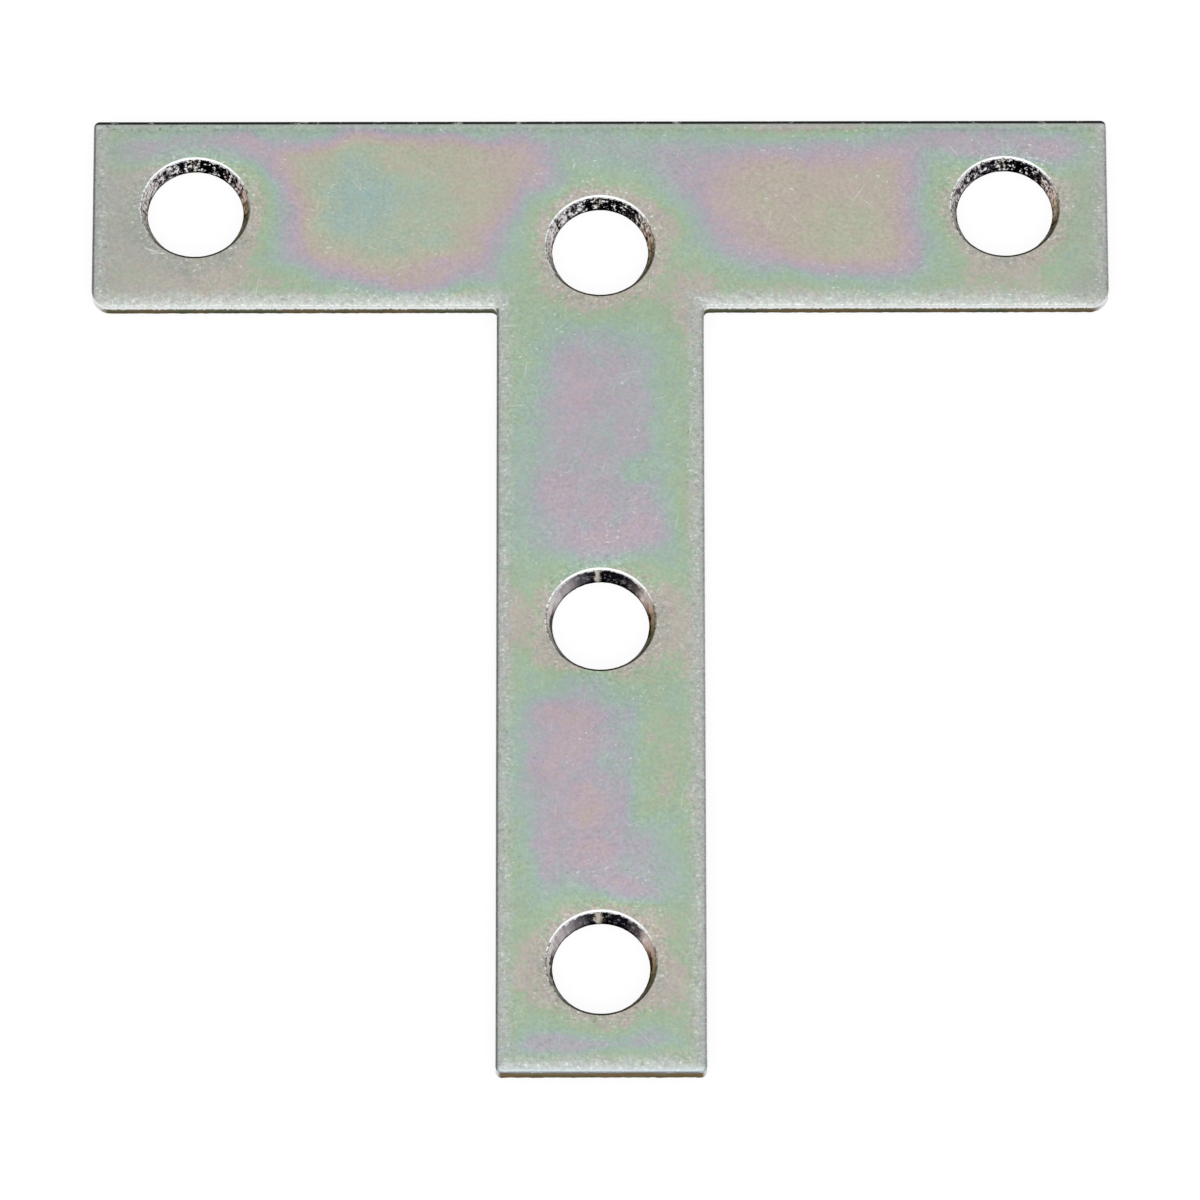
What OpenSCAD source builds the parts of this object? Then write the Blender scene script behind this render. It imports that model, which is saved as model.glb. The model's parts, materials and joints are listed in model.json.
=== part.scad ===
// T-shaped flat mending plate, blanked from one sheet of plated steel and punched with tapered screw holes.
// It lies on its back: X runs along the bar, +Y points to the bar's top edge and +Z out of the front face.
// The origin is under the middle of the plate, on the back face. Lengths are in millimetres.

/* [Plate] */
// Length of the bar, end to end
bar_length = 76.2; // [50:0.1:120]
// Height of the plate, from the stem's foot to the bar's top edge
plate_height = 76.2; // [65:0.1:120]
// Width of the bar
bar_width = 15.2; // [13:0.1:25]
// Width of the stem
stem_width = 15.5; // [11:0.1:25]
// Thickness of the sheet
sheet = 1.6; // [1.2:0.05:3]

/* [Corners and edges] */
// Radius of the bar's two upper corners
upper_corner = 0.45; // [0.4:0.05:4]
// Radius of the bar's two lower corners, outside
lower_corner = 1.4; // [0.4:0.05:5]
// Radius of the two corners at the stem's foot
foot_corner = 0.45; // [0.4:0.05:4]
// Radius of the two inner corners, where the stem meets the bar
inner_corner = 0.45; // [0.2:0.05:5]
// Radius of the roll-over that blanking leaves round the front edge
edge_roll = 0.35; // [0.1:0.05:0.4]

/* [Screw holes] */
// Diameter of a hole at the back face
hole_d = 7.2; // [3:0.1:8]
// Height of the straight land above the back face
hole_land = 0.4; // [0.2:0.05:0.8]
// Angle between a hole's taper and its axis
hole_taper = 19; // [5:1:45]
// Radius of the break round a hole's front rim
rim_round = 0.2; // [0.05:0.05:0.5]

/* [Places of the holes] */
// Centre of an end hole from the bar's end
end_margin = 7.7; // [6:0.05:15]
// Centres of the two end holes below the top edge
end_drop = 7.2; // [6:0.05:9]
// Centre of the hole in the middle of the bar below the top edge
centre_drop = 10.35; // [6:0.05:20]
// Centre of the stem's middle hole below the top edge
middle_drop = 40.6; // [25:0.1:55]
// Centre of the stem's lowest hole above the foot
foot_rise = 8.45; // [6:0.05:20]

/* [Hidden] */
$fn = 96;

// Plated steel, between its grey, green and pink tints
plate_colour = [0.69, 0.70, 0.67];
// How far a cutting shape runs past the face that it cuts
overrun = 0.05;

half_bar = bar_length / 2;
half_stem = stem_width / 2;
top = plate_height / 2;
foot = -plate_height / 2;
shoulder = top - bar_width;

// The outline's corners, counter-clockwise from the foot: x, y and the corner's radius
corners = [
    [-half_stem, foot, foot_corner],
    [half_stem, foot, foot_corner],
    [half_stem, shoulder, inner_corner],
    [half_bar, shoulder, lower_corner],
    [half_bar, top, upper_corner],
    [-half_bar, top, upper_corner],
    [-half_bar, shoulder, lower_corner],
    [-half_stem, shoulder, inner_corner]
];
last_corner = len(corners) - 1;

hole_places = [
    [-half_bar + end_margin, top - end_drop],
    [half_bar - end_margin, top - end_drop],
    [0, top - centre_drop],
    [0, top - middle_drop],
    [0, foot + foot_rise]
];

hole_r = hole_d / 2;
// Where a hole's taper would meet the front face if its rim were sharp
taper_r = hole_r + (sheet - hole_land) * tan(hole_taper);
// Where the broken rim leaves the front face
rim_r = taper_r + rim_round * tan((90 - hole_taper) / 2);

function corner(i) = corners[(i + len(corners)) % len(corners)];
function spot(i) = [corner(i).x, corner(i).y];
function radius(i) = corner(i).z;
function direction(angle) = [cos(angle), sin(angle)];
// Angle of the edge that leaves corner i
function heading(i) = let (run = spot(i + 1) - spot(i)) atan2(run.y, run.x);
// True at a corner that points out of the plate, false at an inner one
function is_outer(i) = sin(heading(i) - heading(i - 1)) > 0;
// Centre of the arc that rounds corner i
function arc_centre(i) = spot(i) + radius(i) * (direction(heading(i)) - direction(heading(i - 1)));

// What lies between the arc that rounds corner i and the sharp corner
module corner_gap(i) {
    r = radius(i);
    translate(spot(i))
        rotate(is_outer(i) ? heading(i) : heading(i - 1) + 180)
            difference() {
                translate([-overrun, -overrun]) square(r + overrun);
                translate([r, r]) circle(r);
            }
}

module outline() {
    difference() {
        union() {
            polygon([for (i = [0 : last_corner]) spot(i)]);
            for (i = [0 : last_corner])
                if (!is_outer(i)) corner_gap(i);
        }
        for (i = [0 : last_corner])
            if (is_outer(i)) corner_gap(i);
    }
}

// What the roll-over takes off an edge, in section: x points out of the edge, y up from the front face
module roll_section() {
    translate([-edge_roll, -edge_roll])
        difference() {
            square(edge_roll + overrun);
            circle(edge_roll);
        }
}

// Roll-over along the straight edge that leaves corner i
module roll_run(i) {
    end = spot(i + 1) - radius(i + 1) * direction(heading(i));
    run = norm(spot(i + 1) - spot(i)) - radius(i) - radius(i + 1);
    translate([end.x, end.y, sheet])
        rotate([90, 0, heading(i) - 90])
            linear_extrude(run) roll_section();
}

// Roll-over round corner i
module roll_turn(i) {
    centre = arc_centre(i);
    translate([centre.x, centre.y, sheet])
        rotate(is_outer(i) ? heading(i - 1) - 90 : heading(i - 1))
            rotate_extrude(angle = 90)
                translate([radius(i), 0])
                    mirror([is_outer(i) ? 0 : 1, 0]) roll_section();
}

// Half section of a screw hole: straight land, taper and broken rim
module hole_section() {
    rim_centre = [rim_r, sheet - rim_round];
    difference() {
        polygon([
            [0, -overrun],
            [hole_r, -overrun],
            [hole_r, hole_land],
            rim_centre + rim_round * [-cos(hole_taper), sin(hole_taper)],
            rim_centre,
            [rim_r, sheet + overrun],
            [0, sheet + overrun]
        ]);
        translate(rim_centre) circle(rim_round);
    }
}

module t_plate() {
    color(plate_colour)
        difference() {
            linear_extrude(sheet) outline();
            for (i = [0 : last_corner]) {
                roll_run(i);
                roll_turn(i);
            }
            for (place = hole_places)
                translate(place) rotate_extrude() hole_section();
        }
}

t_plate();
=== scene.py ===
"""Looks of the T plate bracket: a tee of sheet steel, blanked, punched and then plated, lying on its back.

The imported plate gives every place. A finer plate stands for it, modelled as the press makes it: a blank with
a rolled front edge, a cut wall that is burnished above and torn below, and punched holes with scored walls.
Lengths are in metres, written in millimetres times MM. The materials work in millimetres on the plate.
"""

import json
import math

import bmesh
import bpy
from mathutils import Matrix, Quaternion, Vector, noise

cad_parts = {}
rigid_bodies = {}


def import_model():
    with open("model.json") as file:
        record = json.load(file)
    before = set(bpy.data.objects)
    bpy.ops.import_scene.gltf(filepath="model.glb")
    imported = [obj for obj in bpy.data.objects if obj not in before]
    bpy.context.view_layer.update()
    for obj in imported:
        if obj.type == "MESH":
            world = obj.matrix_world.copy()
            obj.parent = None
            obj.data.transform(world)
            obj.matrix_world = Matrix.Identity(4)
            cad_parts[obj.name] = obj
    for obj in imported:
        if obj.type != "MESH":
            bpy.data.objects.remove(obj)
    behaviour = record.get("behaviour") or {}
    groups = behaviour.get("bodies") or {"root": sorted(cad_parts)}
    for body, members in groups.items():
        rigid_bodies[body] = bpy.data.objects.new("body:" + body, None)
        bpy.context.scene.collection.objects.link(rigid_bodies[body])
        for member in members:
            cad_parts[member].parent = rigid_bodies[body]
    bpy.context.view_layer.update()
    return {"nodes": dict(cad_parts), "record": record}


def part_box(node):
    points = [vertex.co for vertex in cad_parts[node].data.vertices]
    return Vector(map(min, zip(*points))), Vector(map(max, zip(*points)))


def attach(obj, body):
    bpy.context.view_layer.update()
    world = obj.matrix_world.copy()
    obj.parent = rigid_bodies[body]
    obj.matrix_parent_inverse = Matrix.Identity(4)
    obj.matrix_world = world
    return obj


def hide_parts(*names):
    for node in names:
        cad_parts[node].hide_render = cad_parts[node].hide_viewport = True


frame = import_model()

MM = 0.001

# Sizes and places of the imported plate
low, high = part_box("t_plate")
HALF_BAR = high.x
TOP = high.y
FOOT = low.y
SHEET = high.z
spots = [vertex.co for vertex in frame["nodes"]["t_plate"].data.vertices]
HALF_STEM = max(spot.x for spot in spots if spot.y < 0)
SHOULDER = min(spot.y for spot in spots if spot.x > 2 * HALF_STEM)
bores = [mount for mount in frame["record"]["mounts"] if mount["kind"] == "bore"]
HOLES = [Vector(bore["pos_m"]) for bore in bores]
HOLE_R = bores[0]["dims"]["r_mm"] * MM
HOLE_LAND = bores[0]["dims"]["length_mm"] * MM

# Corners and edges, as in the part's source
UPPER_CORNER = 0.45 * MM
LOWER_CORNER = 1.4 * MM
FOOT_CORNER = 0.45 * MM
INNER_CORNER = 0.45 * MM
EDGE_ROLL = 0.35 * MM
HOLE_TAPER = math.radians(19)
RIM_ROUND = 0.2 * MM
RIM_R = HOLE_R + (SHEET - HOLE_LAND) * math.tan(HOLE_TAPER)
RIM_R += RIM_ROUND * math.tan((math.pi / 2 - HOLE_TAPER) / 2)
# How far in from its edges the pressed sheet starts to dip
ROLL_WIDTH = 1.3 * MM

# How finely the plate is modelled
CORNER_STEPS = 10
ROLL_STEPS = 12
WALL_STEP = 0.25 * MM
WALL_RINGS = 10
HOLE_STEPS = 240
RIM_STEPS = 6
TAPER_STEPS = 8
LAND_STEPS = 3
SMOOTH_ANGLE = math.radians(32)
NEAR = 0.001 * MM

# Scores in the holes: their depth, how closely the coarse and the fine ones lie, and the fine ones' share
SCORE_DEPTH = 0.014 * MM
COARSE_SCORES = 14
FINE_SCORES = 38
FINE_SHARE = 0.6
# Streaks on the burnished part of the cut wall, and how soon they start below the rolled edge
STREAK_DEPTH = 0.012 * MM
STREAK_PITCH = 0.5 * MM
STREAK_START = 0.1 * MM
# The torn part of the cut wall: its roughness, and how high it reaches at the bar and at the stem's foot
TEAR_DEPTH = 0.035 * MM
TEAR_PITCH = 0.45 * MM
TEAR_HEIGHT = 0.80 * MM
FOOT_TEAR_HEIGHT = 1.25 * MM
TEAR_WANDER = 0.16 * MM
WANDER_PITCH = 0.6 * MM
TEAR_BLUR = 0.06 * MM

# The camera, as the photograph was taken
TILT = math.radians(22.21)
ROLL = math.radians(-0.084)
LENS = 390
SENSOR = 36
CAMERA_REACH = 963.9 * MM
AIM = Vector((-0.05, -0.96, 1.6)) * MM


# Modelling helpers

def choose(kind, test):
    """Selects only the vertices, edges or faces in edit mode that pass a test, and counts them."""
    bpy.ops.mesh.select_mode(type=kind)
    bpy.ops.mesh.select_all(action="DESELECT")
    mesh = bpy.context.edit_object.data
    shape = bmesh.from_edit_mesh(mesh)
    kinds = {"VERT": shape.verts, "EDGE": shape.edges, "FACE": shape.faces}
    chosen = [part for part in kinds[kind] if test(part)]
    for part in chosen:
        part.select_set(True)
    shape.select_flush_mode()
    bmesh.update_edit_mesh(mesh)
    return len(chosen)


def middle(edge):
    return (edge.verts[0].co + edge.verts[1].co) / 2


def level(edge, height):
    """True for an edge of an open border that lies at one height."""
    return edge.is_boundary and all(abs(vertex.co.z - height) < NEAR for vertex in edge.verts)


def smooth(value, start, end):
    """Goes smoothly from 0 at start to 1 at end."""
    share = min(max((value - start) / (end - start), 0), 1)
    return share * share * (3 - 2 * share)


def nearest_hole(spot):
    """The hole nearest to a spot, and the distance from its axis."""
    return min(((spot - hole).to_2d().length, index) for index, hole in enumerate(HOLES))


# The plate's own mesh

def cut_blank():
    """The tee in plan as one flat face with rounded corners, at the height where the rolled edge starts."""
    bpy.ops.object.select_all(action="DESELECT")
    bpy.ops.mesh.primitive_plane_add(size=1)
    bpy.context.object.name = "pressed_tee"
    bpy.ops.object.mode_set(mode="EDIT")
    bpy.ops.transform.resize(value=(2 * HALF_BAR, TOP - SHOULDER, 1))
    bpy.ops.transform.translate(value=(0, (TOP + SHOULDER) / 2, SHEET - EDGE_ROLL))
    for side in (-HALF_STEM, HALF_STEM):
        bpy.ops.mesh.select_all(action="SELECT")
        bpy.ops.mesh.bisect(plane_co=(side, 0, 0), plane_no=(1, 0, 0))
    choose("EDGE", lambda edge: (middle(edge).to_2d() - Vector((0, SHOULDER))).length < NEAR)
    bpy.ops.mesh.extrude_region_move(TRANSFORM_OT_translate={"value": (0, FOOT - SHOULDER, 0)})
    bpy.ops.mesh.select_all(action="SELECT")
    bpy.ops.mesh.dissolve_limited(angle_limit=math.radians(1))
    corners = {
        (HALF_BAR, TOP): UPPER_CORNER,
        (HALF_BAR, SHOULDER): LOWER_CORNER,
        (HALF_STEM, SHOULDER): INNER_CORNER,
        (HALF_STEM, FOOT): FOOT_CORNER,
    }
    for (x, y), radius in corners.items():
        choose("VERT", lambda vertex: abs(abs(vertex.co.x) - x) + abs(vertex.co.y - y) < NEAR)
        bpy.ops.mesh.bevel(offset=radius, segments=CORNER_STEPS, affect="VERTICES")
    bpy.ops.mesh.select_all(action="SELECT")
    bpy.ops.mesh.delete(type="ONLY_FACE")
    while choose("EDGE", lambda edge: edge.calc_length() > WALL_STEP):
        bpy.ops.mesh.subdivide(number_cuts=1)
    bpy.ops.mesh.select_all(action="SELECT")
    bpy.ops.mesh.edge_face_add()
    bpy.ops.mesh.select_mode(type="FACE")
    bpy.ops.mesh.select_all(action="SELECT")
    bpy.ops.mesh.normals_make_consistent(inside=False)
    shape = bmesh.from_edit_mesh(bpy.context.edit_object.data)
    if any(face.normal.z < 0 for face in shape.faces):
        bpy.ops.mesh.flip_normals()


def tuck_corners(depth):
    """Draws the newest ring back to the outline less a depth, where it crosses itself at a small corner."""
    mesh = bpy.context.edit_object.data
    ring = [vertex for vertex in bmesh.from_edit_mesh(mesh).verts if vertex.select]
    for vertex in ring:
        x, y, _ = vertex.co
        if 0 < y < (TOP + SHOULDER) / 2:
            continue
        half = HALF_BAR if y > 0 else HALF_STEM
        vertex.co.x = math.copysign(min(abs(x), half - depth), x)
        vertex.co.y = min(max(y, FOOT + depth), TOP - depth)
    bmesh.update_edit_mesh(mesh)
    bpy.ops.mesh.remove_doubles(threshold=NEAR)


def roll_front_edge():
    """Rounds the blank's front edge ring by ring, steeper towards the edge, and opens the front face."""
    turn = math.pi / 2 / ROLL_STEPS
    for i in range(ROLL_STEPS):
        inward = ROLL_WIDTH * (math.cos(i * turn) - math.cos((i + 1) * turn))
        upward = EDGE_ROLL * (math.sin((i + 1) * turn) - math.sin(i * turn))
        bpy.ops.mesh.inset(thickness=inward, depth=upward, use_even_offset=True)
        tuck_corners(ROLL_WIDTH * (1 - math.cos((i + 1) * turn)))
    bpy.ops.mesh.delete(type="ONLY_FACE")


def draw_wall():
    """Draws the cut wall down from the rolled edge to the back, in rings."""
    choose("EDGE", lambda edge: level(edge, SHEET - EDGE_ROLL))
    ring = (SHEET - EDGE_ROLL) / WALL_RINGS
    for _ in range(WALL_RINGS):
        bpy.ops.mesh.extrude_edges_move(TRANSFORM_OT_translate={"value": (0, 0, -ring)})


def hole_section():
    """Radius and height of each ring of a hole's wall, from the broken rim down to the back."""
    rings = []
    for i in range(RIM_STEPS + 1):
        turn = (math.pi / 2 - HOLE_TAPER) * i / RIM_STEPS
        rings.append((RIM_R - RIM_ROUND * math.sin(turn), SHEET - RIM_ROUND * (1 - math.cos(turn))))
    rim_end = Vector(rings[-1])
    land_start = Vector((HOLE_R, HOLE_LAND))
    rings += [tuple(rim_end.lerp(land_start, (i + 1) / TAPER_STEPS)) for i in range(TAPER_STEPS)]
    rings += [(HOLE_R, HOLE_LAND * (1 - (i + 1) / LAND_STEPS)) for i in range(LAND_STEPS)]
    return rings


def punch_holes():
    """One hole's wall, drawn down ring by ring from its rim, and a copy at each of the other holes."""
    rings = hole_section()
    bpy.ops.mesh.select_all(action="DESELECT")
    bpy.ops.mesh.primitive_circle_add(vertices=HOLE_STEPS, radius=RIM_R)
    bpy.ops.transform.translate(value=(0, 0, SHEET))
    for (last_r, last_z), (r, z) in zip(rings, rings[1:]):
        bpy.ops.mesh.extrude_edges_move(TRANSFORM_OT_translate={"value": (0, 0, z - last_z)})
        bpy.ops.transform.resize(value=(r / last_r, r / last_r, 1), center_override=(0, 0, z))
    bpy.ops.mesh.select_linked()
    last = Vector((0, 0))
    for index, hole in enumerate(HOLES):
        step = (hole.to_2d() - last).to_3d()
        if index == 0:
            bpy.ops.transform.translate(value=step)
        else:
            bpy.ops.mesh.duplicate_move(TRANSFORM_OT_translate={"value": step})
        last = hole.to_2d()


def close_faces():
    """Fills the front and back between the outline and the holes."""
    for height in (SHEET, 0):
        choose("EDGE", lambda edge: level(edge, height))
        bpy.ops.mesh.fill(use_beauty=True)
    bpy.ops.mesh.select_all(action="SELECT")
    bpy.ops.mesh.remove_doubles(threshold=NEAR / 10)
    bpy.ops.mesh.normals_make_consistent(inside=False)


def model_plate():
    cut_blank()
    roll_front_edge()
    draw_wall()
    punch_holes()
    close_faces()
    bpy.ops.object.mode_set(mode="OBJECT")
    return bpy.context.object


plate = model_plate()


# Press marks

def tear_line(spot):
    """Height at which the cut wall turns from burnished to torn: low at the bar, high at the stem's foot."""
    rest = TEAR_HEIGHT + (FOOT_TEAR_HEIGHT - TEAR_HEIGHT) * smooth(spot.y, 0, FOOT)
    return rest + TEAR_WANDER * noise.noise(Vector((spot.x, spot.y, 0)) / WANDER_PITCH)


def score_hole(spot, hole):
    """Scores a hole's wall along its axis, as the punch left it. Gives the new spot and its run.

    The hole's number picks lines of its own for each hole.
    """
    out = (spot - HOLES[hole]).to_2d().normalized()
    line = noise.noise(Vector((out.x * COARSE_SCORES, out.y * COARSE_SCORES, hole * 7.3)))
    line += FINE_SHARE * noise.noise(Vector((out.x * FINE_SCORES, out.y * FINE_SCORES, hole * 3.1)))
    depth = smooth(spot.z, SHEET, SHEET - RIM_ROUND) * SCORE_DEPTH
    run = Vector((out.x * HOLE_R / MM, out.y * HOLE_R / MM, hole * 9))
    return spot + (out * line * depth).to_3d(), run


def tear_wall(spot, out):
    """Streaks the outline's wall above, and leaves it torn and rough below. Gives the new spot and its run.

    Both marks go inwards, so that the plate stays in its box.
    """
    flat = Vector((spot.x, spot.y, 0))
    streak = noise.noise(flat / STREAK_PITCH) - 1
    torn = smooth(spot.z, tear_line(spot) + TEAR_BLUR, tear_line(spot) - TEAR_BLUR)
    rough = noise.fractal(spot / TEAR_PITCH, 1.0, 2.0, 3) - 0.7
    fade = smooth(spot.z, SHEET - EDGE_ROLL, SHEET - EDGE_ROLL - STREAK_START)
    inset = fade * (streak * STREAK_DEPTH + torn * rough * TEAR_DEPTH)
    return spot + out * inset, flat / MM


def mark_plate(plate):
    """Leaves the marks of the press on the cut walls, and keeps each point's run along its wall."""
    vertices = plate.data.vertices
    outs = [vertex.normal.to_2d().to_3d().normalized() for vertex in vertices]
    places = [vertex.co.copy() for vertex in vertices]
    runs = [Vector() for _ in places]
    for index, (spot, out) in enumerate(zip(places, outs)):
        distance, hole = nearest_hole(spot)
        if distance < RIM_R + NEAR:
            places[index], runs[index] = score_hole(spot, hole)
        elif spot.z < SHEET - EDGE_ROLL + NEAR:
            places[index], runs[index] = tear_wall(spot, out)
    vertices.foreach_set("co", [number for spot in places for number in spot])
    wall_run = plate.data.attributes.new("wall_run", "FLOAT_VECTOR", "POINT")
    wall_run.data.foreach_set("vector", [number for run in runs for number in run])
    plate.data.update()


def finish_plate(plate, materials):
    """Gives the faces, the outline's wall and the holes their finishes, and smooths the rounds."""
    for material in materials:
        plate.data.materials.append(material)
    bpy.ops.object.select_all(action="DESELECT")
    plate.select_set(True)
    bpy.context.view_layer.objects.active = plate
    bpy.ops.object.mode_set(mode="EDIT")

    def on_hole(face):
        return nearest_hole(face.calc_center_median())[0] < RIM_R - NEAR

    def on_wall(face):
        return abs(face.normal.z) < 0.7 and face.calc_center_median().z < SHEET - EDGE_ROLL

    for index, test in ((1, on_wall), (2, on_hole)):
        choose("FACE", test)
        plate.active_material_index = index
        bpy.ops.object.material_slot_assign()
    bpy.ops.object.mode_set(mode="OBJECT")
    bpy.ops.object.shade_smooth_by_angle(angle=SMOOTH_ANGLE)


# Shader helpers

# The share of a soft spot that is at full strength
SPOT_CORE = 0.25


def paint(red, green, blue):
    """A colour from its display values, 0 to 255."""
    def straight(value):
        value /= 255
        return value / 12.92 if value <= 0.04045 else ((value + 0.055) / 1.055) ** 2.4

    return (straight(red), straight(green), straight(blue), 1)


def feed(tree, socket, source):
    """Links an input to another node's output, or gives it a plain value."""
    if isinstance(source, bpy.types.NodeSocket):
        tree.links.new(source, socket)
    else:
        socket.default_value = source


def node(tree, kind, *sources, **settings):
    """A shader node with its settings and the sources of its first inputs."""
    made = tree.nodes.new("ShaderNode" + kind)
    for name, value in settings.items():
        setattr(made, name, value)
    for socket, source in zip(made.inputs, sources):
        feed(tree, socket, source)
    return made


def calc(tree, operation, *terms):
    return node(tree, "Math", *terms, operation=operation).outputs[0]


def vector(tree, operation, *terms):
    made = node(tree, "VectorMath", *terms, operation=operation)
    return made.outputs["Value" if operation in ("DISTANCE", "LENGTH") else "Vector"]


def stretch(tree, place, factor):
    made = node(tree, "VectorMath", place, operation="SCALE")
    feed(tree, made.inputs["Scale"], factor)
    return made.outputs["Vector"]


def ease(tree, value, start, end, first=0.0, last=1.0):
    """Goes smoothly from a first value at start to a last one at end."""
    made = node(tree, "MapRange", value, start, end, first, last, interpolation_type="SMOOTHSTEP")
    return made.outputs["Result"]


def mix(tree, share, first, second, how="MIX"):
    """Mixes two colours."""
    made = node(tree, "Mix", data_type="RGBA", blend_type=how)
    for index, source in ((0, share), (6, first), (7, second)):
        feed(tree, made.inputs[index], source)
    return made.outputs[2]


def cloud(tree, place, scale, detail=2.0, roughness=0.5):
    """Soft noise, with its scale in features per millimetre."""
    made = node(tree, "TexNoise")
    for name, source in (("Vector", place), ("Scale", scale), ("Detail", detail), ("Roughness", roughness)):
        feed(tree, made.inputs[name], source)
    return made.outputs


def ramp(tree, value, stops):
    """A colour that runs through stops, each a position and a colour."""
    made = node(tree, "ValToRGB", value)
    places = made.color_ramp.elements
    while len(places) < len(stops):
        places.new(0.5)
    for stop, (position, colour) in zip(places, stops):
        stop.position = position
        stop.color = colour
    return made.outputs["Color"]


def set_axes(tree, place, x, y, turn, width, height):
    """A place in axes of its own on the plate, which are shifted, turned and stretched."""
    made = node(tree, "Mapping", place, vector_type="TEXTURE")
    made.inputs["Location"].default_value = (x, y, 0)
    made.inputs["Rotation"].default_value = (0, 0, turn)
    made.inputs["Scale"].default_value = (width, height, 1)
    return made.outputs[0]


def spot_mask(tree, place, x, y, half_width, half_height, turn, core=SPOT_CORE):
    """A soft oval spot, 1 over its core and 0 at its border."""
    across = set_axes(tree, place, x, y, math.radians(turn), half_width, half_height)
    return ease(tree, vector(tree, "LENGTH", across), 1.0, core)


def shared_spot_mask(tree, place, axes, x, y, half_width, half_height, turn):
    """A soft oval spot, of one of a few shapes. Spots of one shape share its axes, kept in a dictionary."""
    slim = 2 ** round(math.log2(half_height / half_width))
    reach = math.sqrt(half_width * half_height / slim)
    turn = math.radians(turn)
    if (slim, turn) not in axes:
        axes[slim, turn] = set_axes(tree, place, 0, 0, turn, 1, slim)
    along, over = Matrix.Rotation(-turn, 2) @ Vector((x, y))
    distance = vector(tree, "DISTANCE", axes[slim, turn], (along, over / slim, 0))
    return ease(tree, distance, reach, SPOT_CORE * reach)


def new_group(name, inputs, outputs):
    """A shader node group with named inputs and outputs. Gives its tree, its inputs and its output node."""
    tree = bpy.data.node_groups.new(name, "ShaderNodeTree")
    for label, kind in inputs.items():
        tree.interface.new_socket(label, in_out="INPUT", socket_type="NodeSocket" + kind)
    for label, kind in outputs.items():
        tree.interface.new_socket(label, in_out="OUTPUT", socket_type="NodeSocket" + kind)
    return tree, tree.nodes.new("NodeGroupInput").outputs, tree.nodes.new("NodeGroupOutput").inputs


def use_group(tree, group, **sources):
    """Places a group in a material, and gives its outputs."""
    made = node(tree, "Group", node_tree=group)
    for label, source in sources.items():
        feed(tree, made.inputs[label], source)
    return made.outputs


def new_material(name):
    """A material with a plain shader. Gives it, its tree, the shader and the place in millimetres."""
    material = bpy.data.materials.new(name)
    material.use_nodes = True
    tree = material.node_tree
    shader = tree.nodes["Principled BSDF"]
    place = stretch(tree, tree.nodes.new("ShaderNodeTexCoord").outputs["Object"], 1 / MM)
    return material, tree, shader, place


def wall_run(tree):
    """Each point's run along its wall, as mark_plate keeps it."""
    run = tree.nodes.new("ShaderNodeAttribute")
    run.attribute_name = "wall_run"
    return run.outputs["Vector"]


# The plate's lines in millimetres, for the materials
BAR_END = HALF_BAR / MM
TOP_EDGE = TOP / MM
FOOT_EDGE = FOOT / MM
UNDERSIDE = SHOULDER / MM
STEM_SIDE = HALF_STEM / MM
FRONT = SHEET / MM
RIM = RIM_R / MM

# The clear film's interference colours, from its thinnest to its thickest
FILM_TINTS = [
    (0.00, paint(170, 173, 163)),
    (0.10, paint(186, 178, 170)),
    (0.18, paint(166, 184, 158)),
    (0.26, paint(164, 185, 166)),
    (0.33, paint(164, 183, 173)),
    (0.41, paint(170, 177, 178)),
    (0.50, paint(179, 171, 181)),
    (0.58, paint(186, 171, 178)),
    (0.68, paint(187, 175, 168)),
    (0.77, paint(184, 181, 164)),
    (0.87, paint(173, 185, 166)),
    (1.00, paint(158, 182, 179)),
]
# Bare plating where the film is worn off along the edges, and dulled by handling at the bar's ends
FILM_RUBBED = paint(181, 185, 182)
FILM_DULL = paint(167, 171, 164)
# Film at the rims of the holes, its rise beside them, and how far it builds up in the middle of a panel
FILM_THIN = 0.10
FILM_RISE = 0.065
FILM_PANEL = 0.31
# How far the film rises from the rims, the holes' axes, the inner corners, the edges and the top edge
RIM_REACH = 2.6
HOLE_REACH = (3.6, 9.5)
CORNER_REACH = 9.0
EDGE_REACH = 4.8
TOP_REACH = (-0.5, 2.4)
# How far the bands wander, and the scale and strength of each mottle of the film
FILM_DRIFT = 3.5
FILM_MOTTLES = ((0.45, 0.18), (1.3, 0.17), (3.2, 0.15))
# How far the colour strays from spot to spot, as red, green and blue
FILM_STRAY = (0.30, 0.18, 0.30)
# Panels where the film builds up more or less: middle x and y, half width and height, turn and how far
FILM_PANELS = [
    (-14.2, 31.5, 12.4, 11, 0, 0.70),
    (17, 31, 12.6, 10, 0, 0.55),
    (0, 37, 6, 6, 0, 0.25),
    (-1.5, -17, 7, 10, 0, 0.32),
]
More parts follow.
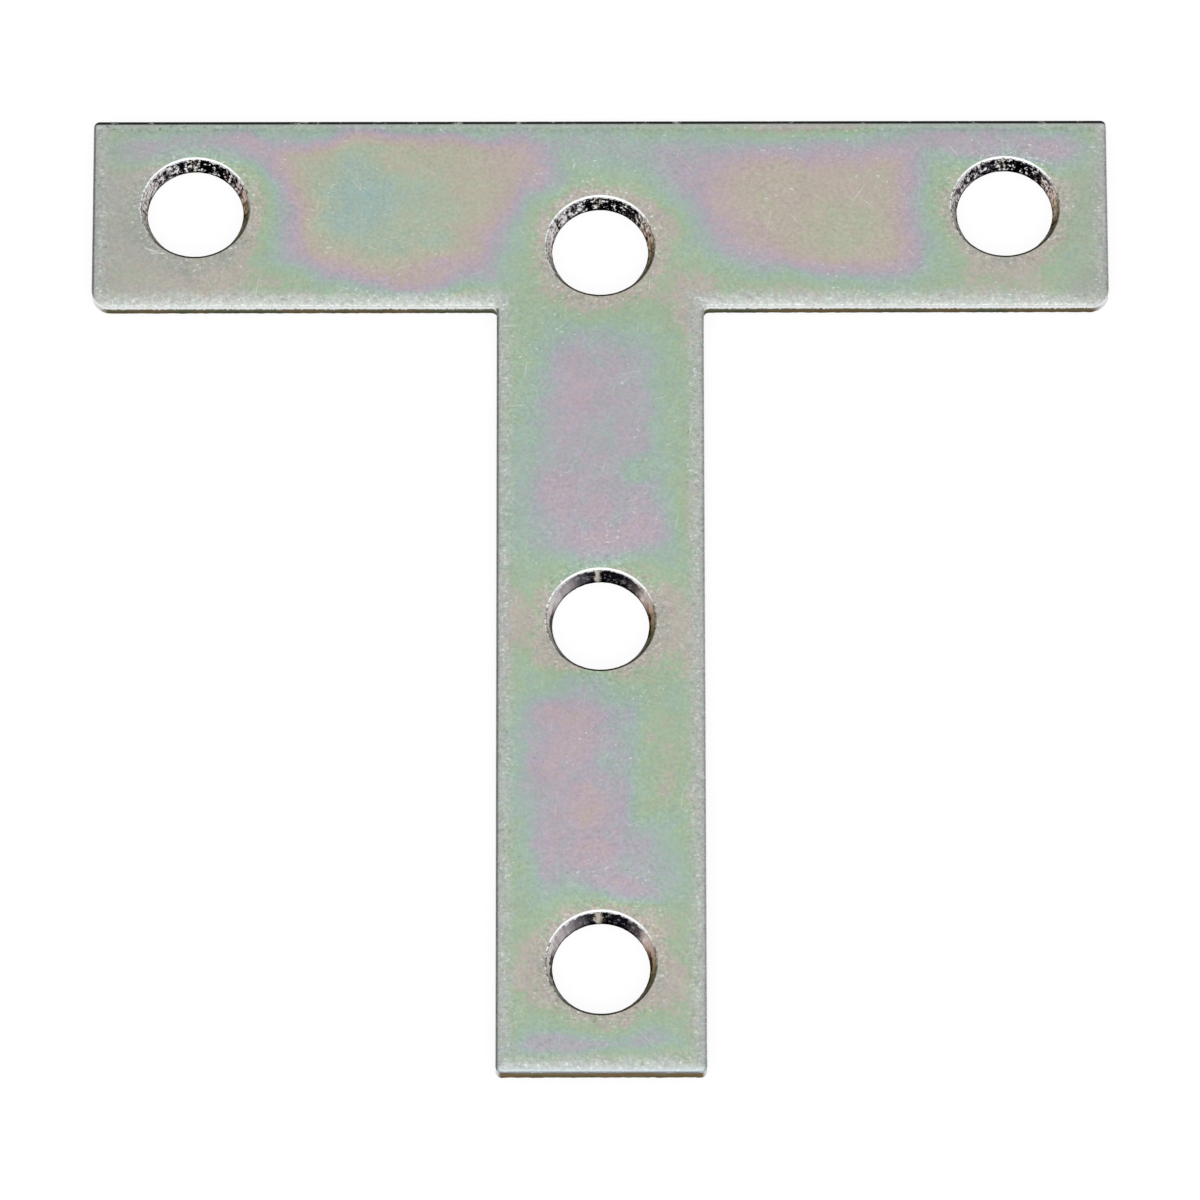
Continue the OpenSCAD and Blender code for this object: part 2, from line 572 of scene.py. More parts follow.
# Small pools that add to the film or take from it, in the same form
FILM_POOLS = [
    # Bar, left to right
    (-38, 30, 8, 9, 0, -0.14),
    (-31, 24.8, 8, 3.2, 0, -0.10),
    (-27, 27, 3.6, 3, 0, -0.09),
    (-24, 25, 3.2, 1.8, 0, -0.10),
    (-33, 35.6, 7, 1.6, 8, 0.23),
    (-28, 35.4, 4, 1.6, 5, 0.19),
    (-24, 34.6, 4.4, 2.8, -30, 0.18),
    (-23.5, 37.2, 5, 1.8, 0, -0.16),
    (-20, 35, 3, 2, 0, 0.07),
    (-13.5, 35.2, 5, 2.2, 0, -0.08),
    (-27.2, 33, 2, 2.4, 30, 0.05),
    (-18, 31.2, 4.4, 4, 0, 0.10),
    (-21, 28.4, 3, 2.6, 0, 0.07),
    (-9.4, 33.5, 3.6, 4, 0, -0.10),
    (-10, 27.3, 3.4, 2.4, -25, 0.16),
    (-11, 25.3, 5, 1.7, 3, 0.20),
    (-15, 25.6, 5, 1.5, 0, 0.07),
    (-8, 30, 2.4, 3, 0, -0.06),
    (-8, 36.8, 3, 1.4, 0, -0.08),
    (-4, 32.8, 2.2, 2, 0, 0.14),
    (0, 32.8, 3.4, 1.4, 0, 0.04),
    (4.6, 30, 1.8, 2.2, 0, -0.05),
    (-7, 23, 4, 3, 0, 0.05),
    (7, 23.4, 3.8, 2.8, 35, -0.09),
    (6.8, 21.5, 2, 3, 0, -0.05),
    (15.5, 36.4, 10, 3, 0, -0.22),
    (24, 32.5, 2, 2.6, 0, 0.05),
    (27.2, 33, 2, 2.4, -30, 0.05),
    (18, 29.5, 4.4, 3.2, 0, 0.08),
    (15, 24.6, 8, 1.6, 0, -0.06),
    (24.6, 25.8, 2.4, 1.7, 0, -0.08),
    (30, 36.2, 7, 1.9, -4, 0.25),
    (28.4, 35, 3, 1.4, 0, 0.14),
    (34, 35.3, 4, 1.8, 0, 0.10),
    (30.5, 25, 7, 3.4, 0, -0.06),
    # Upper stem
    (-6.6, 9, 1.6, 7, 0, 0.10),
    (-2, 16.5, 2.6, 4, 0, 0.06),
    (4.6, 13.5, 1.6, 8, 0, -0.12),
    (0.8, 12.5, 1.5, 2.2, 0, -0.04),
    (2.8, 9.4, 1.7, 2.2, 0, -0.18),
    (-3.8, 7, 2.8, 3.6, 0, 0.06),
    (6.6, 8, 1.7, 9, 0, -0.05),
    (-0.2, 6.2, 1.7, 1.6, 0, 0.10),
    (3.4, 5, 2.6, 1.6, 0, 0.10),
    (0, 3.4, 5.4, 2.2, 0, 0.25),
    # Middle of the stem
    (0, -3.4, 14, 6, 0, -0.05),
    (-2.6, 0.6, 2.4, 1.6, 40, 0.10),
    (2.8, 0.6, 2.4, 1.6, -40, 0.07),
    (-7, -2.5, 2, 5, 0, -0.05),
    (-4.6, -2.6, 1.1, 2.4, 0, 0.05),
    (6.4, -4, 2.8, 7, 0, -0.06),
    (-0.8, -7.2, 3.2, 1.8, 0, 0.22),
    # Lower stem
    (-2.4, -9.4, 3.6, 2.2, 0, 0.17),
    (-2.5, -12.2, 2.2, 4.2, -38, 0.07),
    (-4.6, -14.5, 1.8, 9, 0, 0.07),
    (0.7, -13.6, 1.7, 1.9, 0, -0.10),
    (2.4, -11.8, 1.7, 2, 0, -0.12),
    (2.6, -18, 1.6, 2.4, 0, -0.10),
    (-6.2, -14.5, 2, 8, 0, 0.11),
    (4, -14, 2.6, 8, 0, -0.25),
    (-1.2, -17.4, 2.2, 3, 0, 0.14),
    (-4.5, -20.5, 1.3, 3, 0, 0.08),
    (-0.8, -21.2, 3, 2.2, 0, 0.10),
    (1.8, -23.8, 3.2, 1.8, -20, 0.24),
    (6.6, -14, 1.5, 8, 0, -0.06),
    # Foot
    (4.6, -26.5, 3, 3, 0, -0.05),
    (-5.2, -31, 2, 4, 0, -0.09),
    (5.2, -31.5, 2.6, 4, 0, -0.08),
    (-3.4, -35.9, 4.6, 1.5, 0, 0.21),
    (2.5, -35.8, 4.4, 1.4, 0, 0.15),
]
# Places where handling has dulled the film
FILM_RUBS = [
    (-38, 30, 11, 11, 0, 0.55),
    (39, 30, 6, 11, 0, 0.45),
    (37.5, 23.6, 4.5, 3.5, 0, 0.75),
]


def edge_distances(tree, place):
    """How far a place is from the bar's underside or the stem's sides, the bar's ends, foot and top."""
    across, along, _ = node(tree, "SeparateXYZ", place).outputs
    side = calc(tree, "ABSOLUTE", across)
    from_shoulder = calc(tree, "SUBTRACT", along, UNDERSIDE)
    from_stem_side = calc(tree, "SUBTRACT", STEM_SIDE, side)
    return (
        calc(tree, "MAXIMUM", from_shoulder, from_stem_side),
        calc(tree, "SUBTRACT", BAR_END, side),
        calc(tree, "SUBTRACT", along, FOOT_EDGE),
        calc(tree, "SUBTRACT", TOP_EDGE, along),
    )


def hole_distance(tree, place):
    """How far a place is from the axis of the nearest hole."""
    nearest = 100.0
    for hole in HOLES:
        distance = vector(tree, "DISTANCE", place, (hole.x / MM, hole.y / MM, 0))
        nearest = calc(tree, "MINIMUM", nearest, distance)
    return nearest


def film_thickness(tree, place):
    """The film's thickness: thin at the holes, edges and inner corners, thick inside the panels."""
    under, from_bar_end, from_foot, from_top = edge_distances(tree, place)
    across, along, _ = node(tree, "SeparateXYZ", place).outputs
    side = calc(tree, "ABSOLUTE", across)
    nearest = hole_distance(tree, place)
    inner = vector(tree, "DISTANCE", node(tree, "CombineXYZ", side, along).outputs[0],
                   (STEM_SIDE, UNDERSIDE, 0))
    panel = FILM_PANEL
    for *oval, amount in FILM_PANELS:
        made = node(tree, "Mix", spot_mask(tree, place, *oval, core=0.4))
        feed(tree, made.inputs[2], panel)
        feed(tree, made.inputs[3], amount)
        panel = made.outputs[0]
    limits = (
        ease(tree, nearest, *HOLE_REACH),
        ease(tree, inner, 0.0, CORNER_REACH),
        ease(tree, under, 0.0, EDGE_REACH),
        ease(tree, from_bar_end, 0.0, EDGE_REACH),
        ease(tree, from_foot, 0.0, EDGE_REACH),
        ease(tree, from_top, *TOP_REACH),
    )
    for limit in limits:
        panel = calc(tree, "MULTIPLY", panel, limit)
    at_rims = ease(tree, nearest, RIM, RIM + RIM_REACH, FILM_THIN, FILM_THIN + FILM_RISE)
    thickness = calc(tree, "ADD", panel, at_rims)
    axes = {}
    for *oval, amount in FILM_POOLS:
        pool = shared_spot_mask(tree, place, axes, *oval)
        thickness = calc(tree, "MULTIPLY_ADD", pool, amount, thickness)
    return thickness


def edge_margin(tree, place):
    """How far in a place is from the nearest edge other than the top one."""
    margin = 100.0
    for distance in edge_distances(tree, place)[:3]:
        margin = calc(tree, "MINIMUM", margin, distance)
    return margin


def film_rubs(tree, place, drifted):
    """How far the film is worn off along all but the top edge, and dulled in wandering patches."""
    ragged = cloud(tree, place, 0.6, 5.0, 0.7)["Fac"]
    margin = calc(tree, "MULTIPLY_ADD", ragged, 2.4, edge_margin(tree, place))
    rubbed = ease(tree, margin, 2.8, 1.6, 0.0, 0.85)
    dull = 0.0
    for *oval, amount in FILM_RUBS:
        dull = calc(tree, "MAXIMUM", dull, calc(tree, "MULTIPLY", spot_mask(tree, drifted, *oval), amount))
    return rubbed, dull


def make_film():
    """The faint green, pink and lilac bands of the clear film."""
    tree, given, result = new_group("film_bands", {"Place": "Vector"}, {"Tint": "Color", "Wear": "Float"})
    flat = vector(tree, "MULTIPLY", given["Place"], (1, 1, 0))
    drift = vector(tree, "SUBTRACT", cloud(tree, flat, 0.13, 3.0, 0.55)["Color"], (0.5, 0.5, 0.5))
    drifted = vector(tree, "MULTIPLY_ADD", drift, (FILM_DRIFT, FILM_DRIFT, 0), flat)
    thickness = film_thickness(tree, drifted)
    for scale, amount in FILM_MOTTLES:
        mottle = calc(tree, "SUBTRACT", cloud(tree, flat, scale, 2.0, 0.6)["Fac"], 0.5)
        thickness = calc(tree, "MULTIPLY_ADD", mottle, amount, thickness)
    rubbed, dull = film_rubs(tree, flat, drifted)
    tint = mix(tree, rubbed, ramp(tree, thickness, FILM_TINTS), FILM_RUBBED)
    tint = mix(tree, dull, tint, FILM_DULL)
    # The colour strays where the film is thin, less in the panels
    stray = vector(tree, "SUBTRACT", cloud(tree, flat, 1.5, 4.0, 0.75)["Color"], (0.5, 0.5, 0.5))
    stray = vector(tree, "MULTIPLY_ADD", stray, FILM_STRAY, (1, 1, 1))
    feed(tree, result["Tint"], mix(tree, ease(tree, thickness, 0.75, 0.55), tint, stray, "MULTIPLY"))
    # Wear along the edges and round the rims
    worn = ease(tree, edge_margin(tree, flat), 1.7, 0.5)
    worn = calc(tree, "MAXIMUM", worn, ease(tree, edge_distances(tree, flat)[3], 1.3, 0.5))
    rims = ease(tree, hole_distance(tree, flat), RIM + 1.6, RIM + 0.2)
    feed(tree, result["Wear"], calc(tree, "MAXIMUM", worn, rims))
    return tree


# Sets of short scratches, each with its turn and a shift of its own, and a scratch's length and width
SCRATCH_SETS = ((18, 3.0), (-52, 11.0), (81, 23.0), (-24, 37.0))
SCRATCH_LENGTH = 2.2
SCRATCH_WIDTH = 0.13


def make_grain():
    """The sheet's grain: a fine speckle, flocks of bright specks, more where worn, and short scratches."""
    tree, given, result = new_group(
        "sheet_grain", {"Place": "Vector", "Wear": "Float"},
        {"Shade": "Float", "Speck": "Float", "Scratch": "Float", "Height": "Float"},
    )
    place = given["Place"]
    fine = calc(tree, "SUBTRACT", cloud(tree, place, 3.6, 4.0, 0.75)["Fac"], 0.5)
    coarse = calc(tree, "SUBTRACT", cloud(tree, place, 0.5, 4.0, 0.65)["Fac"], 0.5)
    uneven = ease(tree, cloud(tree, place, 0.16, 2.0)["Fac"], 0.40, 0.62)
    depth = calc(tree, "MULTIPLY_ADD", uneven, 0.35, 0.75)
    depth = calc(tree, "MULTIPLY_ADD", given["Wear"], 0.9, depth)
    grit = cloud(tree, vector(tree, "MULTIPLY", place, (0.7, 1, 1)), 4.8, 2.0, 0.5)["Fac"]
    shade = calc(tree, "MULTIPLY_ADD", coarse, 0.16, 1.0)
    shade = calc(tree, "MULTIPLY_ADD", calc(tree, "MULTIPLY", fine, depth), 0.75, shade)
    pitted = calc(tree, "MULTIPLY_ADD", given["Wear"], -0.08, grit)
    shade = calc(tree, "MULTIPLY", shade, ease(tree, pitted, 0.30, 0.22, 1.0, 0.75))
    feed(tree, result["Shade"], shade)
    flock = ease(tree, cloud(tree, place, 0.3, 3.0, 0.6)["Fac"], 0.50, 0.62, 0.1, 1.0)
    bright = ease(tree, calc(tree, "MULTIPLY_ADD", given["Wear"], 0.04, grit), 0.64, 0.74)
    feed(tree, result["Speck"], calc(tree, "MULTIPLY", bright, calc(tree, "MAXIMUM", flock, given["Wear"])))
    scratch = 0.0
    for turn, shift in SCRATCH_SETS:
        across = set_axes(tree, place, shift, shift, math.radians(turn), SCRATCH_LENGTH, SCRATCH_WIDTH)
        line = ease(tree, cloud(tree, across, 1.0, 1.0)["Fac"], 0.745, 0.81)
        scratch = calc(tree, "MAXIMUM", scratch, line)
    scratch = calc(tree, "MULTIPLY", scratch, depth)
    feed(tree, result["Scratch"], scratch)
    feed(tree, result["Height"], calc(tree, "SUBTRACT", fine, calc(tree, "MULTIPLY", scratch, 0.4)))
    return tree


# Single scratches on the face, and their half width: middle x and y, half length and turn
STRAY_SCRATCHES = [
    (-6.4, 14.7, 1.3, 2),
    (-6.8, 21.2, 0.9, 3),
    (-5.9, 28.9, 0.4, -45),
    (-11.9, 27.1, 0.5, 70),
    (3.7, 24.6, 1.0, 88),
    (4.3, -0.1, 0.6, 62),
    (19.4, 32.0, 1.4, 55),
    (20.1, 31.2, 0.9, -40),
]
STRAY_HALF_WIDTH = 0.07


def stray_scratches(tree, place):
    """A mask of the single scratches, thin and fading at their ends."""
    found = 0.0
    for x, y, half_length, turn in STRAY_SCRATCHES:
        line = spot_mask(tree, place, x, y, half_length, STRAY_HALF_WIDTH, turn)
        found = calc(tree, "MAXIMUM", found, line)
    return found


def edge_shade_and_chips(tree, place):
    """The broken dark line on the rolled edge, painted shade: strong along the top, weaker down the sides."""
    under, from_bar_end, _, from_top = edge_distances(tree, place)
    across, along, _ = node(tree, "SeparateXYZ", place).outputs
    on_bar = calc(tree, "MAXIMUM", calc(tree, "SUBTRACT", along, UNDERSIDE - 0.2), 0.0)
    from_side = calc(tree, "MINIMUM", calc(tree, "MULTIPLY_ADD", on_bar, 100.0, under), from_bar_end)
    broken = cloud(tree, place, 0.9, 4.0, 0.75)["Fac"]
    top = ease(tree, from_top, 0.37, 0.25)
    top = calc(tree, "MULTIPLY", top, ease(tree, broken, 0.32, 0.44, 0.0, 0.97))
    side = ease(tree, from_side, 0.24, 0.12)
    side = calc(tree, "MULTIPLY", side, ease(tree, across, -5.0, 5.0, 0.5, 0.1))
    # Dark chips below the top edge, most of them at the bar's left end
    chips = ease(tree, cloud(tree, place, 2.0, 4.0, 0.75)["Fac"], 0.58, 0.66)
    chips = calc(tree, "MULTIPLY", chips, ease(tree, from_top, 1.3, 0.4))
    chips = calc(tree, "MULTIPLY", chips, ease(tree, across, -22.0, -30.0, 0.25, 0.8))
    return calc(tree, "MAXIMUM", calc(tree, "MAXIMUM", top, side), chips)


# Colours of the face's specks and scratches, and of its rolled edges, where worn and where bright. The grain's
# bright specks are painted glints, the top sheen is a painted highlight, the rolled edges are partly rubbed
# and partly a painted highlight, and the edge line is painted shade with dark chips
SPECK_GLINT = paint(222, 230, 226)
SCRATCHED = paint(220, 222, 218)
TOP_PAINTED_SHEEN = paint(232, 235, 233)
LIP_WORN = paint(140, 142, 138)
LIP_BRIGHT = paint(202, 205, 202)
LOW_LIP_WORN = paint(216, 219, 217)
LOW_LIP_BRIGHT = paint(250, 252, 250)
FOOT_LIP = paint(172, 184, 194)
EDGE_SHADE_AND_CHIPS = paint(15, 17, 19)


def make_face(film, grain):
    """Satin plating under the clear film, with painted glints in its specks; the rolled edge is brighter,
    partly where it has rubbed and partly as a painted highlight.
    """
    material, tree, shader, place = new_material("filmed_plating")
    bands = use_group(tree, film, Place=place)
    marks = use_group(tree, grain, Place=place, Wear=bands["Wear"])
    colour = mix(tree, 1.0, bands["Tint"], marks["Shade"], "MULTIPLY")
    # Bright specks of the grain, painted as glints
    colour = mix(tree, calc(tree, "MULTIPLY", marks["Speck"], 0.75), colour, SPECK_GLINT)
    flat = vector(tree, "MULTIPLY", place, (1, 1, 0))
    scratch = calc(tree, "MAXIMUM", marks["Scratch"], stray_scratches(tree, flat))
    colour = mix(tree, calc(tree, "MULTIPLY", scratch, 0.42), colour, SCRATCHED)
    # The rolled edges, by their height. The back, which isn't rolled, stays plain
    _, along, height = node(tree, "SeparateXYZ", place).outputs
    from_top = calc(tree, "SUBTRACT", TOP_EDGE, along)
    # A painted highlight lightens the face towards the top edge
    colour = mix(tree, ease(tree, from_top, 0.9, 0.3, 0.0, 0.5), colour, TOP_PAINTED_SHEEN)
    # The rolled edges lighten: partly bare plating where rubbed, partly a painted highlight, brightest low on
    # the roll
    chipped = ease(tree, cloud(tree, place, 4.5, 3.0, 0.7)["Fac"], 0.38, 0.60)
    lip = mix(tree, chipped, LIP_WORN, LIP_BRIGHT)
    low_lip = mix(tree, chipped, LOW_LIP_WORN, LOW_LIP_BRIGHT)
    lip = mix(tree, ease(tree, height, FRONT - 0.2, FRONT - 0.3), lip, low_lip)
    lip = mix(tree, ease(tree, along, FOOT_EDGE + 1.4, FOOT_EDGE + 0.4), lip, FOOT_LIP)
    rolled = ease(tree, height, FRONT - 0.01, FRONT - 0.3, 0.0, 0.6)
    on_front = ease(tree, height, 0.2, 0.4)
    colour = mix(tree, calc(tree, "MULTIPLY", rolled, on_front), colour, lip)
    # Painted shade along the rolled edge, and dark chips below the top edge
    colour = mix(tree, edge_shade_and_chips(tree, place), colour, EDGE_SHADE_AND_CHIPS)
    feed(tree, shader.inputs["Base Color"], colour)
    feed(tree, shader.inputs["Roughness"], calc(tree, "MULTIPLY_ADD", marks["Shade"], 0.2, 0.2))
    shader.inputs["Metallic"].default_value = 1.0
    bump = node(tree, "Bump")
    bump.inputs["Strength"].default_value = 0.12
    bump.inputs["Distance"].default_value = 0.02 * MM
    feed(tree, bump.inputs["Height"], marks["Height"])
    feed(tree, shader.inputs["Normal"], bump.outputs["Normal"])
    return material


# Colours of the cut wall: its burnished part, and its torn part from brown at the foot to olive at the bar
BURNISHED_DULL = paint(212, 217, 220)
BURNISHED_BRIGHT = paint(246, 247, 246)
WALL_CHIP = paint(96, 96, 84)
TORN_BROWN = paint(140, 124, 98)
TORN_OLIVE = paint(112, 114, 84)
DEEP_BROWN = paint(90, 76, 24)
DEEP_OLIVE = paint(54, 58, 22)
RUST = paint(112, 84, 44)
BLUED = paint(104, 110, 122)


def make_wall(grain):
    """The cut wall: bright and burnished above, torn and brown below."""
    material, tree, shader, place = new_material("sheared_wall")
    marks = use_group(tree, grain, Place=place)
    across, along, height = node(tree, "SeparateXYZ", place).outputs
    streak = cloud(tree, wall_run(tree), 4.5, 3.0, 0.6)["Fac"]
    rest = ease(tree, along, 0.0, FOOT_EDGE, TEAR_HEIGHT / MM, FOOT_TEAR_HEIGHT / MM)
    line = calc(tree, "MULTIPLY_ADD", calc(tree, "SUBTRACT", streak, 0.5), 1.0, rest)
    torn = ease(tree, calc(tree, "SUBTRACT", height, line), 0.10, -0.10)
    # The corners of the foot and of the bar's underside are burnished all the way down
    side = calc(tree, "ABSOLUTE", across)
    at_foot = ease(tree, along, FOOT_EDGE + 0.5, FOOT_EDGE + 0.3)
    foot_corner = ease(tree, side, STEM_SIDE - 0.4, STEM_SIDE - 0.1, 0.0, 0.8)
    foot_corner = calc(tree, "MULTIPLY", at_foot, foot_corner)
    at_bar = ease(tree, along, UNDERSIDE + 1.4, UNDERSIDE + 0.8)
    bar_corner = ease(tree, side, BAR_END - 1.3, BAR_END - 0.4, 0.0, 0.8)
    bar_corner = calc(tree, "MULTIPLY", at_bar, bar_corner)
    corner = calc(tree, "MAXIMUM", foot_corner, bar_corner)
    torn = calc(tree, "MULTIPLY", torn, calc(tree, "SUBTRACT", 1.0, corner))
    burnished = mix(tree, streak, BURNISHED_DULL, BURNISHED_BRIGHT)
    chip = ease(tree, cloud(tree, place, 3.5, 2.0, 0.6)["Fac"], 0.60, 0.72, 0.0, 0.6)
    burnished = mix(tree, chip, burnished, WALL_CHIP)
    # Torn metal, with patches of rust and a blued line at the foot
    tint = calc(tree, "MULTIPLY_ADD", cloud(tree, place, 0.35, 2.0)["Fac"], 20.0, along)
    olive = ease(tree, tint, -10.0, 20.0)
    upper = mix(tree, olive, TORN_BROWN, TORN_OLIVE)
    lower = mix(tree, olive, DEEP_BROWN, DEEP_OLIVE)
    scale = mix(tree, ease(tree, calc(tree, "DIVIDE", height, rest), 0.25, 1.1), lower, upper)
    rust = ease(tree, cloud(tree, place, 0.16, 2.0)["Fac"], 0.56, 0.44, 0.0, 0.5)
    scale = mix(tree, rust, scale, RUST)
    blued = calc(tree, "MULTIPLY", ease(tree, along, -20.0, FOOT_EDGE), ease(tree, height, 0.85, 1.1))
    scale = mix(tree, blued, scale, BLUED)
    scale = mix(tree, 1.0, scale, marks["Shade"], "MULTIPLY")
    feed(tree, shader.inputs["Base Color"], mix(tree, torn, burnished, scale))
    feed(tree, shader.inputs["Roughness"], calc(tree, "MULTIPLY_ADD", torn, 0.25, 0.3))
    shader.inputs["Metallic"].default_value = 1.0
    return material


# Colours round a punched wall and its rim, by the share of a turn. Half way is the side towards the top edge.
# The wall's colours are painted shade and painted highlights: dark on the side towards the top edge, with a
# narrow painted highlight at its middle, and bright painted bands on its sides
WALL_SHADE_AND_HIGHLIGHTS = [
    (0.00, paint(110, 108, 98)),
    (0.13, paint(160, 158, 148)),
    (0.19, paint(204, 196, 182)),
    (0.235, paint(236, 228, 220)),
    (0.29, paint(238, 230, 228)),
    (0.36, paint(194, 186, 190)),
    (0.43, paint(92, 88, 94)),
    (0.465, paint(40, 38, 46)),
    (0.48, paint(38, 36, 40)),
    (0.485, paint(196, 190, 178)),
    (0.495, paint(190, 182, 170)),
    (0.503, paint(16, 15, 18)),
    (0.58, paint(30, 29, 36)),
    (0.63, paint(96, 88, 88)),
    (0.66, paint(212, 198, 192)),
    (0.70, paint(206, 178, 164)),
    (0.74, paint(184, 162, 134)),
    (0.79, paint(154, 142, 112)),
    (0.83, paint(132, 126, 104)),
    (0.88, paint(128, 126, 114)),
    (1.00, paint(110, 108, 98)),
]
# The rim's colours by the turn: a painted highlight round its upper side, painted shade at its lower side
RIM_HIGHLIGHT_AND_SHADE = [
    (0.00, paint(60, 58, 52)),
    (0.12, paint(120, 120, 114)),
    (0.17, paint(216, 216, 212)),
    (0.24, paint(228, 228, 226)),
    (0.29, paint(236, 238, 238)),
    (0.65, paint(236, 238, 238)),
    (0.69, paint(196, 190, 180)),
    (0.78, paint(120, 114, 98)),
    (1.00, paint(60, 58, 52)),
]
# Colours of the scores, the painted shade low on the wall's sides, the grit's pits and painted glints, the
# wall's darker foot and the rim's chips
HOLE_STREAK = paint(20, 18, 20)
HOLE_SIDE_SHADE = paint(34, 26, 16)
HOLE_PIT = paint(6, 6, 7)
HOLE_GLINT = paint(240, 238, 238)
HOLE_FOOT = paint(30, 26, 24)
RIM_CHIP = paint(74, 70, 62)


def make_hole_wall(grain):
    """The punched wall: painted shade and highlights round it, gritty, scored along its axis, with a painted
    highlight along the upper rim.
    """
    material, tree, shader, place = new_material("punched_wall")
    marks = use_group(tree, grain, Place=place)
    _, along, height = node(tree, "SeparateXYZ", place).outputs
    run = wall_run(tree)
    score = cloud(tree, run, 2.2, 4.0, 0.7)["Fac"]
    right, top, _ = node(tree, "SeparateXYZ", run).outputs
    turn = calc(tree, "ARCTAN2", right, top)
    wander = calc(tree, "SUBTRACT", cloud(tree, place, 1.6, 3.0, 0.6)["Fac"], 0.5)
    turned = calc(tree, "MULTIPLY_ADD", wander, 0.25, turn)
    share = calc(tree, "MULTIPLY_ADD", turned, 0.5 / math.pi, 0.5)
    # Painted shade and highlights round the wall, by the turn
    colour = ramp(tree, share, WALL_SHADE_AND_HIGHLIGHTS)
    # Streaks, most in the bar's holes, and painted shade on the lower part of the wall's sides, higher in the
    # stem's holes
    streaks = ease(tree, score, 0.48, 0.36, 0.0, 0.7)
    streaks = calc(tree, "MULTIPLY", streaks, ease(tree, along, 0.0, 20.0, 0.4, 1.0))
    colour = mix(tree, streaks, colour, HOLE_STREAK)
    aside = calc(tree, "ABSOLUTE", turn)
    shade_line = calc(tree, "MULTIPLY_ADD", wander, 1.6, height)
    shade_line = calc(tree, "MULTIPLY_ADD", ease(tree, along, 20.0, 0.0), -0.35, shade_line)
    side_shade = calc(tree, "MULTIPLY", ease(tree, aside, 1.0, 1.4), ease(tree, shade_line, 0.62, 0.42, 0.0, 0.8))
    colour = mix(tree, side_shade, colour, HOLE_SIDE_SHADE)
    # Grit in the bar's holes, less in the stem's: dark pits and painted glints
    gritty = ease(tree, along, 0.0, 20.0, 0.15, 1.0)
    gritty = calc(tree, "MULTIPLY", gritty, ease(tree, aside, 1.5, 0.8, 0.5, 1.0))
    grit = calc(tree, "MULTIPLY_ADD", score, 0.35, cloud(tree, place, 3.2, 3.0, 0.65)["Fac"])
    pit = calc(tree, "MULTIPLY", ease(tree, grit, 0.68, 0.63, 0.0, 0.95), gritty)
    glint = calc(tree, "MULTIPLY", ease(tree, grit, 0.74, 0.78, 0.0, 0.95), gritty)
    colour = mix(tree, pit, colour, HOLE_PIT)
    colour = mix(tree, glint, colour, HOLE_GLINT)
    colour = mix(tree, ease(tree, height, 0.28, 0.12, 0.0, 0.6), colour, HOLE_FOOT)
    colour = mix(tree, 1.0, colour, marks["Shade"], "MULTIPLY")
    # The broken rim, nicked and chipped, with a painted highlight round its upper side and painted shade at
    # its lower side
    nick = calc(tree, "SUBTRACT", cloud(tree, place, 3.4, 3.0, 0.65)["Fac"], 0.5)
    rim_edge = calc(tree, "MULTIPLY_ADD", nick, 0.6, height)
    rim = ease(tree, rim_edge, FRONT - 0.17, FRONT - 0.11)
    lit = ramp(tree, share, RIM_HIGHLIGHT_AND_SHADE)
    chipped = calc(tree, "MULTIPLY", ease(tree, nick, 0.03, -0.06), ease(tree, aside, 0.7, 1.3, 0.1, 0.75))
    lit = mix(tree, chipped, lit, RIM_CHIP)
    colour = mix(tree, rim, colour, lit)
    feed(tree, shader.inputs["Base Color"], colour)
    feed(tree, shader.inputs["Roughness"], calc(tree, "MULTIPLY_ADD", score, 0.2, 0.2))
    shader.inputs["Metallic"].default_value = 1.0
    shader.inputs["Specular Tint"].default_value = (0.2, 0.2, 0.2, 1)
    return material


film = make_film()
grain = make_grain()
mark_plate(plate)
finish_plate(plate, [make_face(film, grain), make_wall(grain), make_hole_wall(grain)])


# Floor, light and camera

FLOOR_SIZE = 6
FLOOR_GAP = 0.05 * MM
FLOOR_SHARE = 0.14
FLOOR_GLOW = 0.87
SKY_LOW = 0.15
SKY_HIGH = 0.99
SKY_RISE = (0.05, 0.65)
SKY_LEAN = 0.6
FRONT_LIGHT = 0.45


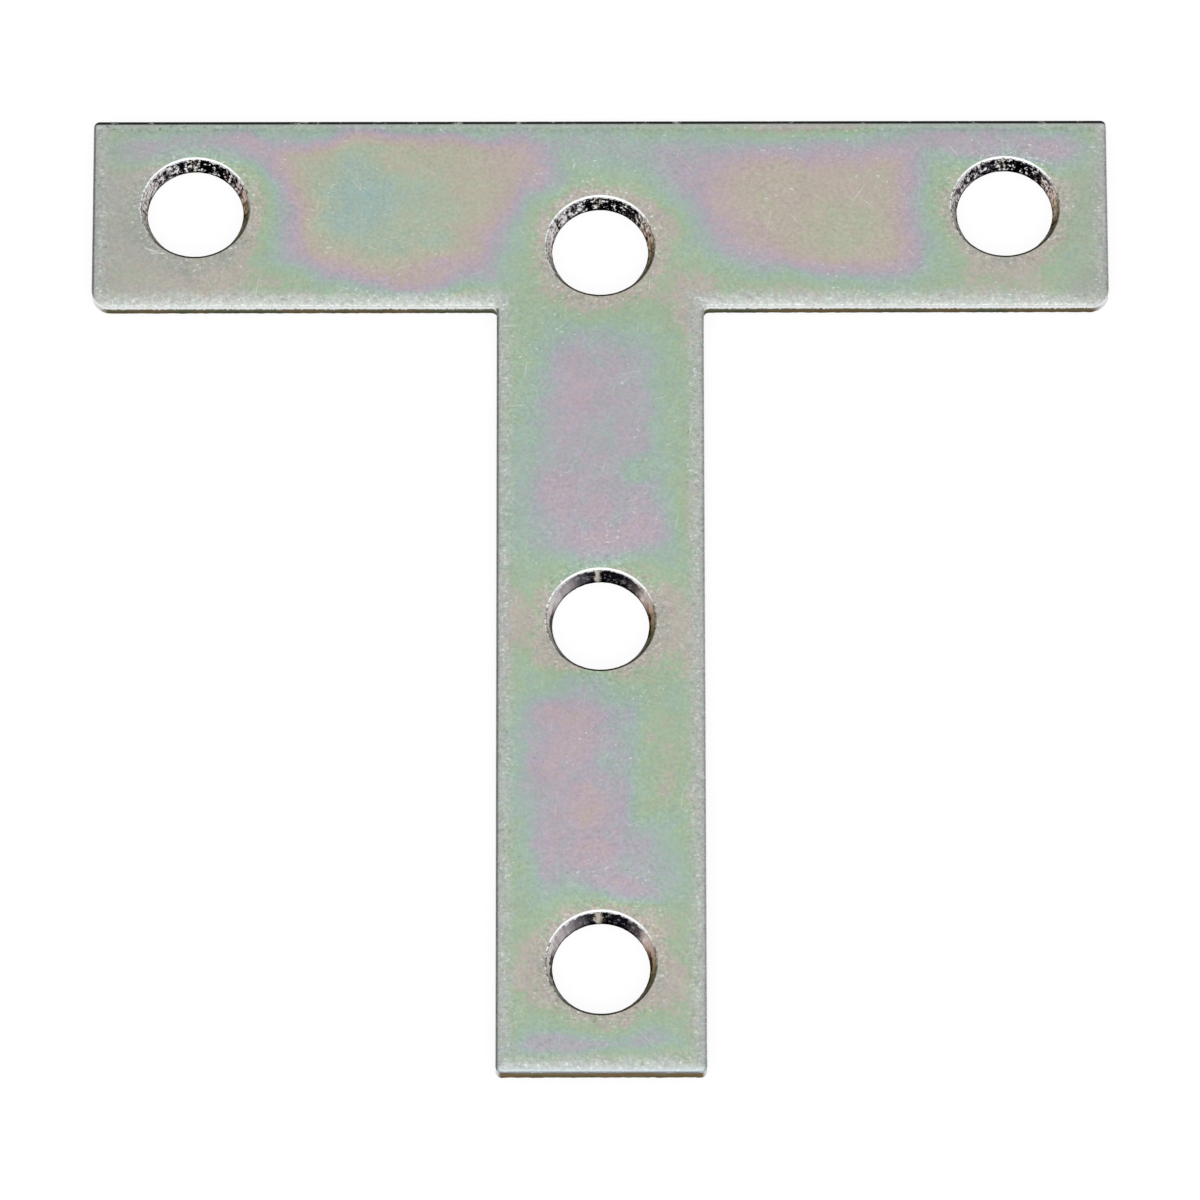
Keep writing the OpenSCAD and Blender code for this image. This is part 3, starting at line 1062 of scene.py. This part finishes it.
def lay_floor():
    """A white table. It shows white to the camera and in the metal, and still takes the plate's shadow."""
    bpy.ops.mesh.primitive_plane_add(size=FLOOR_SIZE, location=(0, 0, -FLOOR_GAP))
    floor = bpy.context.object
    floor.name = "table"
    material = bpy.data.materials.new("white_table")
    material.use_nodes = True
    tree = material.node_tree
    shader = tree.nodes["Principled BSDF"]
    shader.inputs["Base Color"].default_value = (FLOOR_SHARE, FLOOR_SHARE, FLOOR_SHARE, 1)
    shader.inputs["Roughness"].default_value = 1.0
    shader.inputs["Specular IOR Level"].default_value = 0.0
    rays = tree.nodes.new("ShaderNodeLightPath").outputs
    shown = calc(tree, "MAXIMUM", rays["Is Camera Ray"], rays["Is Glossy Ray"])
    shown = calc(tree, "MAXIMUM", shown, rays["Is Transmission Ray"])
    glow = node(tree, "Emission", (1, 1, 1, 1), calc(tree, "MULTIPLY", shown, FLOOR_GLOW))
    both = node(tree, "AddShader", shader.outputs[0], glow.outputs[0])
    tree.links.new(both.outputs[0], tree.nodes["Material Output"].inputs["Surface"])
    floor.data.materials.append(material)


def light_sky():
    """A soft dome, dim at the horizon and brighter in front, at a plain level where the face mirrors it."""
    world = bpy.data.worlds.new("studio")
    bpy.context.scene.world = world
    world.use_nodes = True
    tree = world.node_tree
    toward = tree.nodes.new("ShaderNodeTexCoord").outputs["Generated"]
    _, away, rise = node(tree, "SeparateXYZ", toward).outputs
    dome = ease(tree, rise, *SKY_RISE, SKY_LOW, SKY_HIGH)
    lean = calc(tree, "MULTIPLY_ADD", away, -SKY_LEAN, 1 + SKY_LEAN * math.sin(TILT))
    feed(tree, tree.nodes["Background"].inputs["Strength"], calc(tree, "MULTIPLY", dome, lean))
    tree.nodes["Background"].inputs["Color"].default_value = (1, 1, 1, 1)


def hang_front_light():
    """A wide soft light before the plate, which draws the bright line along its lower edges."""
    reach = 1.8
    rise = math.radians(28)
    width, height = 2.6, 1.2
    toward = Vector((0, -math.cos(rise), math.sin(rise)))
    bpy.ops.object.light_add(type="AREA", location=toward * reach)
    lamp = bpy.context.object
    lamp.rotation_mode = "QUATERNION"
    lamp.rotation_quaternion = toward.to_track_quat("Z", "Y")
    lamp.data.shape = "RECTANGLE"
    lamp.data.size = width
    lamp.data.size_y = height
    lamp.data.energy = FRONT_LIGHT * math.pi * width * height


lay_floor()
light_sky()
hang_front_light()

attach(plate, "root")
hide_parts("t_plate")


def set_camera():
    bpy.ops.object.camera_add()
    camera = bpy.context.object
    camera.data.lens = LENS
    camera.data.sensor_width = SENSOR
    camera.data.clip_start = 10 * MM
    camera.data.clip_end = 20
    back = Vector((0, -math.sin(TILT), math.cos(TILT)))
    camera.location = AIM + back * CAMERA_REACH
    camera.rotation_mode = "QUATERNION"
    camera.rotation_quaternion = (-back).to_track_quat("-Z", "Y") @ Quaternion((0, 0, 1), ROLL)
    bpy.context.scene.camera = camera


set_camera()
bpy.context.scene.view_settings.view_transform = "Standard"
